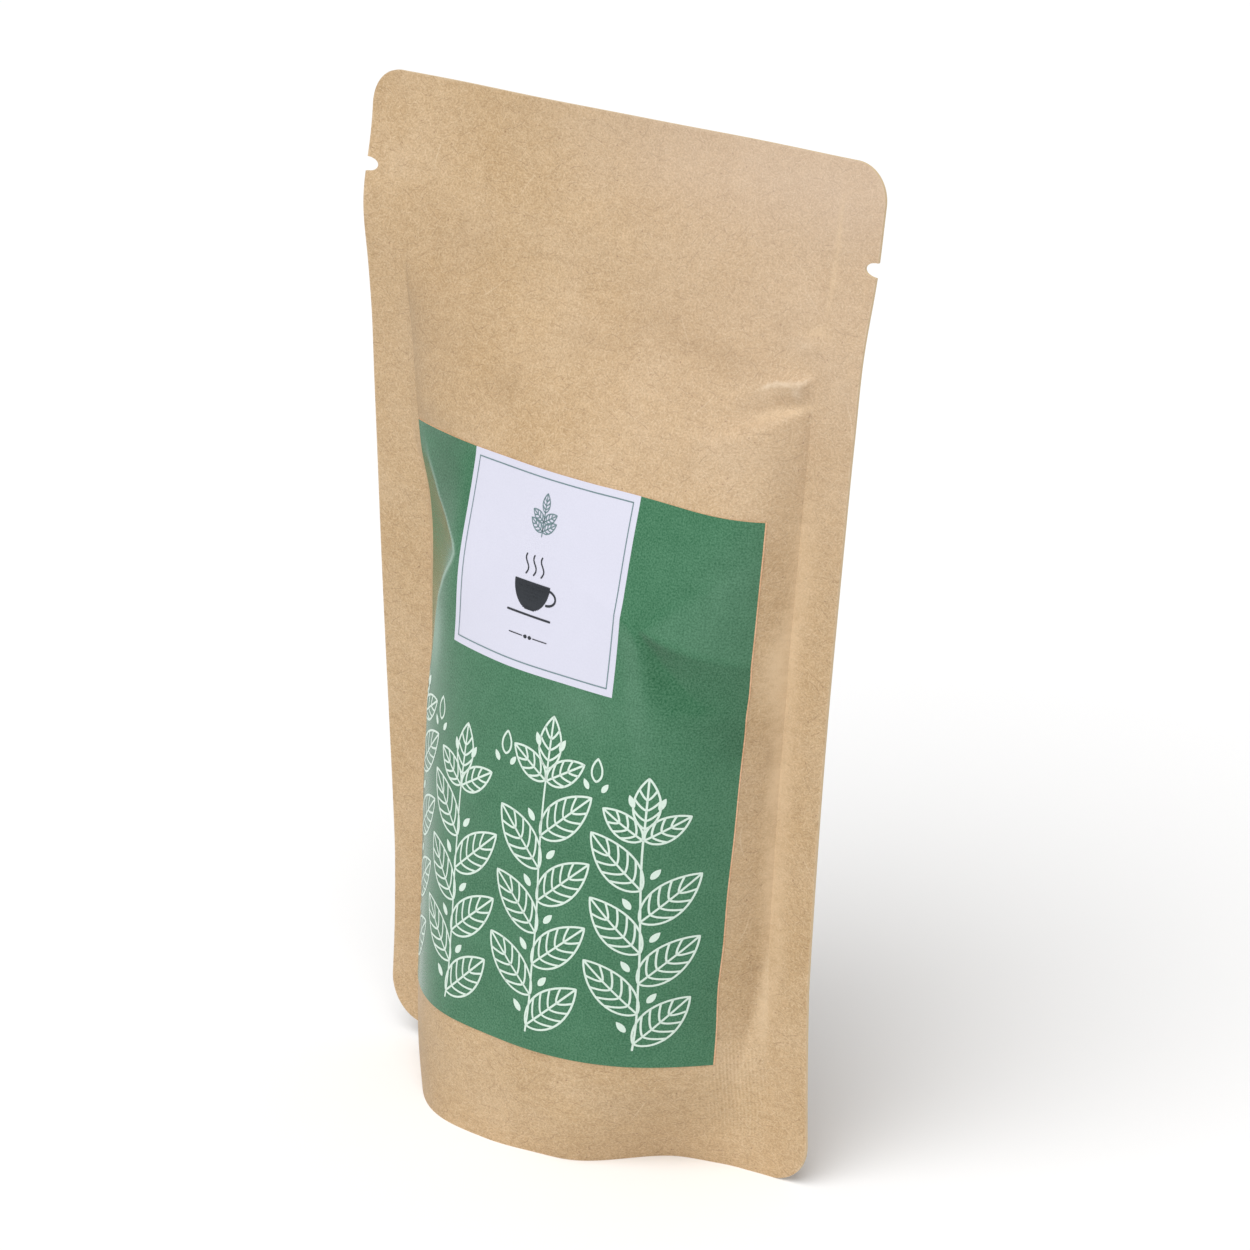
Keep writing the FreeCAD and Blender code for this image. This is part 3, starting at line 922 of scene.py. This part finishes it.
def make_label(materials):
    """The label sheet with its white panel and the bare edge on its right."""
    us = np.concatenate([steps(0.0, PANEL_U[0], LABEL_STEP / 2.0),
                         steps(*PANEL_U, LABEL_STEP)[1:],
                         steps(PANEL_U[1], LABEL_WIDTH - LABEL_EDGE, LABEL_STEP)[1:],
                         [LABEL_WIDTH]])
    vs = np.concatenate([steps(0.0, PANEL_V[0], LABEL_STEP),
                         steps(*PANEL_V, LABEL_STEP)[1:]])
    u, v = np.meshgrid(us, vs)
    index = np.arange(u.size).reshape(u.shape)
    faces = grid_faces(index)
    on_panel = ((us[:-1] >= PANEL_U[0]) & (us[:-1] < PANEL_U[1])
                & (vs[:-1, None] >= PANEL_V[0]))
    indices = on_panel.astype(int)
    indices[:, -1] = 2
    indices = indices.ravel().tolist()

    rim = np.concatenate([index[0], index[1:, -1], index[-1, -2::-1], index[-2:0:-1, 0]])
    under = u.size + np.arange(len(rim))
    faces += stacked(np.roll(rim, -1), rim, under, np.roll(under, -1)).tolist()
    indices += [2] * len(rim)
    u, v = u.ravel(), v.ravel()
    points = np.concatenate([plan.place(u, v, LABEL_LIFT),
                             plan.place(u[rim], v[rim], 0.0)])
    sheet = stacked(u, v, 0.0)
    sheet = np.concatenate([sheet, sheet[rim]])
    wear = label_painted_light(points[:, 0], points[:, 2], sheet[:, 0])
    return make_object("label_sheet", points, faces, materials, indices,
                       sheet=sheet, wear=wear)


label_sheet = make_label([green_paper, white_paper, label_core])


# ---- Print, drawn in the label's flat plan ----
class Print:
    """Collects strokes and filled shapes and lays them over the label."""

    def __init__(self, name, material, lift, low=(-1e3, -1e3), high=(1e3, 1e3)):
        self.name, self.material, self.lift = name, material, lift
        self.low, self.high = np.array(low), np.array(high)
        self.points, self.faces, self.count = [], [], 0

    def add(self, points, faces):
        """Faces count from the first of the new points."""
        self.points.append(points)
        self.faces += [[i + self.count for i in face] for face in faces]
        self.count += len(points)

    def stroke(self, path, width):
        """A line with round ends along a path of flat points."""
        path = np.asarray(path, float).T
        along = travelled(*path)
        count = max(3, int(along[-1] / 0.4) + 1)
        even = np.linspace(0.0, along[-1], count)
        path = stacked(*(np.interp(even, along, axis) for axis in path))
        kept = np.all((path > self.low) & (path < self.high), axis=1)
        for run in np.split(np.arange(count), np.where(np.diff(kept))[0] + 1):
            if kept[run[0]] and len(run) > 1:
                self.ribbon(path[run], width)

    def ribbon(self, path, width):
        """A strip of even width along a path, with rounded ends."""
        along = np.gradient(path, axis=0)
        along /= np.hypot(*along.T)[:, None]
        radius = width / 2.0
        turn = np.linspace(0.15, 0.5, 4)[:, None] * math.pi
        reach, narrow = np.cos(turn) * radius, np.sin(turn[:, 0]) * radius
        centre = np.concatenate([path[0] - along[0] * reach, path,
                                 path[-1] + along[-1] * reach[::-1]])
        half = np.concatenate([narrow, np.full(len(path), radius), narrow[::-1]])
        side = stacked(-along[:, 1], along[:, 0])
        side = np.pad(side, ((4, 4), (0, 0)), "edge") * half[:, None]
        points = np.stack([centre + side, centre - side], axis=1).reshape(-1, 2)
        self.add(points, [[2 * i + 1, 2 * i + 3, 2 * i + 2, 2 * i]
                          for i in range(len(centre) - 1)])

    def fill(self, outline):
        """A filled shape inside a closed outline without hollows."""
        if np.any(outline < self.low) or np.any(outline > self.high):
            return
        count = len(outline)
        points = np.concatenate([outline, [outline.mean(axis=0)]])
        self.add(points, [[i, (i + 1) % count, count] for i in range(count)])

    def finish(self):
        """The mesh object of all that has been drawn."""
        flat = np.concatenate(self.points)
        return make_object(self.name, plan.place(*flat.T, self.lift), self.faces,
                           [self.material], sheet=np.pad(flat, ((0, 0), (0, 1))))


def turned(points, angle, place, size):
    """Points turned by an angle in degrees, enlarged and moved to a place."""
    c, s = math.cos(math.radians(angle)), math.sin(math.radians(angle))
    points = np.asarray(points, float) * size
    return stacked(points[:, 0] * c - points[:, 1] * s + place[0],
                   points[:, 0] * s + points[:, 1] * c + place[1])


def leaf_sides(width, count=19):
    """The two sides of a leaf one unit long that points along +X."""
    share = (1.0 - np.cos(np.linspace(0.0, math.pi, count))) / 2.0
    half = width * 1.36 * share ** 0.68 * (1.0 - share) ** 0.9
    return stacked(share, half), stacked(share, -half)


def draw_leaf(ink, place, angle, length, width, line, veins):
    """An outlined leaf with a midrib and curved side veins."""
    sides = leaf_sides(width / length)
    for side in sides:
        ink.stroke(turned(side, angle, place, length), line)
    ink.stroke(turned([(0.0, 0.0), (0.97, 0.0)], angle, place, length), line)
    share, reach = np.linspace(0.0, 1.0, 9), 0.2
    for root in 0.16 + 0.62 * np.arange(veins) / veins:
        for side in sides:
            edge = np.interp(root + reach, *side.T)
            curve = stacked(root + reach * share ** 1.5, edge * share)
            ink.stroke(turned(curve, angle, place, length), line)


def draw_seed(ink, place, angle, length, width, line=0.0):
    """A small drop, in outline where it has a line width, otherwise filled."""
    upper, lower = leaf_sides(width / length, 11)
    if line:
        for side in (upper, lower):
            ink.stroke(turned(side, angle, place, length), line)
    else:
        ink.fill(turned(np.concatenate([lower, upper[-2:0:-1]]), angle, place,
                        length))


def draw_sprig(ink, foot, low, high):
    """A climbing sprig: a waving stem, leaves left and right in turn with a
    seed under each, and a bud of three leaves."""
    def stem(v):
        return foot + 0.7 * math.sin((v - low) / (high - low) * 2.0 * math.pi)

    fork = high - 10.5
    ink.stroke([(stem(v), v) for v in np.linspace(low, fork + 1.5, 60)], SPRIG_LINE)
    side, v = 1, low + 1.2
    while v < fork - 5.0:
        draw_leaf(ink, (stem(v), v), 90.0 - side * 46.0, 13.2, 6.8, SPRIG_LINE, 4)
        draw_seed(ink, (stem(v + 2.2) - side * 1.6, v + 2.2), 90.0 + side * 40.0,
                  2.5, 1.3)
        side, v = -side, v + 5.9
    for way in (-1, 1):
        draw_leaf(ink, (stem(fork) + way * 0.2, fork - 0.6), 90.0 - way * 58.0,
                  8.6, 4.6, SPRIG_LINE, 3)
        draw_seed(ink, (stem(fork) + way * 2.1, fork + 5.0), 90.0 - way * 24.0,
                  2.4, 1.2)
    draw_leaf(ink, (stem(fork + 1.5), fork + 1.5), 90.0, 9.0, 5.0, SPRIG_LINE, 3)


def draw_sprigs(ink):
    """Four sprigs side by side, with a bud between the tops of each two."""
    for number, place in enumerate((7.6, 27.2, 46.8, 66.4)):
        draw_sprig(ink, place, 3.4, 61.0 - 6.5 * (number % 2))
    for place in (17.1, 36.8, 56.3):
        draw_seed(ink, (place, 52.2), 90.0, 4.0, 2.3, SPRIG_LINE)
        for way in (-1, 1):
            draw_seed(ink, (place + way * 1.3, 50.6), 90.0 - way * 34.0, 2.0, 1.1)


def draw_border(ink, low, high):
    """The line round the panel between two corners, and a small posy in it."""
    corners = [low, (high[0], low[1]), high, (low[0], high[1]), low]
    for start, end in zip(corners, corners[1:]):
        ink.stroke([start, end], BORDER_LINE)
    x, foot = (low[0] + high[0]) / 2.0, high[1] - 9.6
    ink.stroke([(x, foot), (x, foot + 4.2)], BORDER_LINE)
    for level, length in ((0.8, 3.4), (2.4, 3.2)):
        for way in (-1, 1):
            draw_leaf(ink, (x, foot + level), 90.0 - way * 58.0, length, 1.8,
                      BORDER_LINE, 3)
    draw_leaf(ink, (x, foot + 4.0), 90.0, 3.2, 1.8, BORDER_LINE, 3)


def draw_cup(ink, x, foot):
    """A round cup filled with lines, its handle, its saucer and its steam."""
    for level in np.linspace(0.0, 1.0, 25):
        half, v = 4.0 * math.sqrt(1.0 - 0.93 * (1.0 - level) ** 2), foot + 4.4 * level
        ink.stroke([(x - half, v), (x + half, v)], 0.3)
    angles = np.linspace(-0.5 * math.pi, 0.5 * math.pi, 17)
    ink.stroke(stacked(x + 3.7 + 1.9 * np.cos(angles),
                       foot + 2.7 + 1.25 * np.sin(angles)), 0.4)
    ink.stroke([(x - 5.0, foot - 1.0), (x + 5.0, foot - 1.0)], 0.36)
    rise = np.linspace(0.0, 1.0, 17)
    for shift in (-1.4, 0.4, 2.2):
        ink.stroke(stacked(x + shift - 0.4 + 0.45 * np.sin(rise * 5.6),
                           foot + 5.7 + 3.2 * rise), 0.3)


def draw_divider(ink, x, level):
    """Two short lines with a pair of seeds between them."""
    for way in (-1, 1):
        ink.stroke([(x + way * 1.3, level), (x + way * 4.4, level)], 0.18)
        draw_seed(ink, (x + way * 0.1, level), 90.0 - way * 90.0, 0.9, 0.7)


sprig_ink = Print("label_sprigs", line_ink, LABEL_LIFT + PRINT_LIFT, *SPRIG_AREA)
draw_sprigs(sprig_ink)
label_sprigs = sprig_ink.finish()

panel_low, panel_high = zip(*((low + PANEL_INSET, high - PANEL_INSET)
                              for low, high in (PANEL_U, PANEL_V)))
panel_x = (panel_low[0] + panel_high[0]) / 2.0
border_ink = Print("panel_border", rule_ink, LABEL_LIFT + PRINT_LIFT * 1.6)
draw_border(border_ink, panel_low, panel_high)
panel_border = border_ink.finish()

cup_ink = Print("panel_cup", dark_ink, LABEL_LIFT + PRINT_LIFT * 1.6)
draw_cup(cup_ink, panel_x - 0.5, panel_low[1] + 9.0)
draw_divider(cup_ink, panel_x, panel_low[1] + 4.4)
panel_cup = cup_ink.finish()


# ---- Floor, light and camera ----
def aim(azimuth, elevation, roll=0.0):
    """The turn of a lamp or camera that looks in from an azimuth, counted from
    the front to the right, and an elevation; angles in degrees."""
    return Matrix.Rotation(math.radians(azimuth), 4, "Z") \
        @ Matrix.Rotation(math.radians(90.0 - elevation), 4, "X") \
        @ Matrix.Rotation(math.radians(roll), 4, "Z")


def make_floor():
    """A wide, matt, nearly white floor."""
    nodes = Nodes("floor")
    nodes.shader.inputs["Base Color"].default_value = (*[FLOOR_GREY] * 3, 1.0)
    nodes.shader.inputs["Roughness"].default_value = 0.9
    material = nodes.material
    points = [(x * FLOOR_REACH, y * FLOOR_REACH, 0.0)
              for x, y in ((-1, -1), (1, -1), (1, 1), (-1, 1))]
    make_object("floor", points, [[0, 1, 2, 3]], [material])


def add_lamp(azimuth, elevation, spread, strength):
    """A far, soft lamp."""
    data = bpy.data.lights.new("key", "SUN")
    data.angle = math.radians(spread)
    data.energy = strength
    add_object("key", data, aim(azimuth, elevation))


def add_camera():
    """The camera that the scene is seen through."""
    data = bpy.data.cameras.new("camera")
    data.sensor_width = 36.0
    data.lens = CAMERA_LENS
    bpy.context.scene.camera = add_object(
        "camera", data, Matrix.Translation(CAMERA_PLACE) @ aim(*CAMERA_ANGLES))


make_floor()
world = bpy.data.worlds.new("studio")
world.use_nodes = True
sky = world.node_tree.nodes["Background"]
sky.inputs[0].default_value = (1.0, 1.0, 1.0, 1.0)
sky.inputs[1].default_value = SKY_STRENGTH
bpy.context.scene.world = world
bpy.context.scene.view_settings.view_transform = "Standard"
add_lamp(*KEY_LIGHT)
add_camera()

for piece in (pouch_paper, label_sheet, label_sprigs, panel_border, panel_cup):
    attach(piece, "root")
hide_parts("pouch")
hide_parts("label")
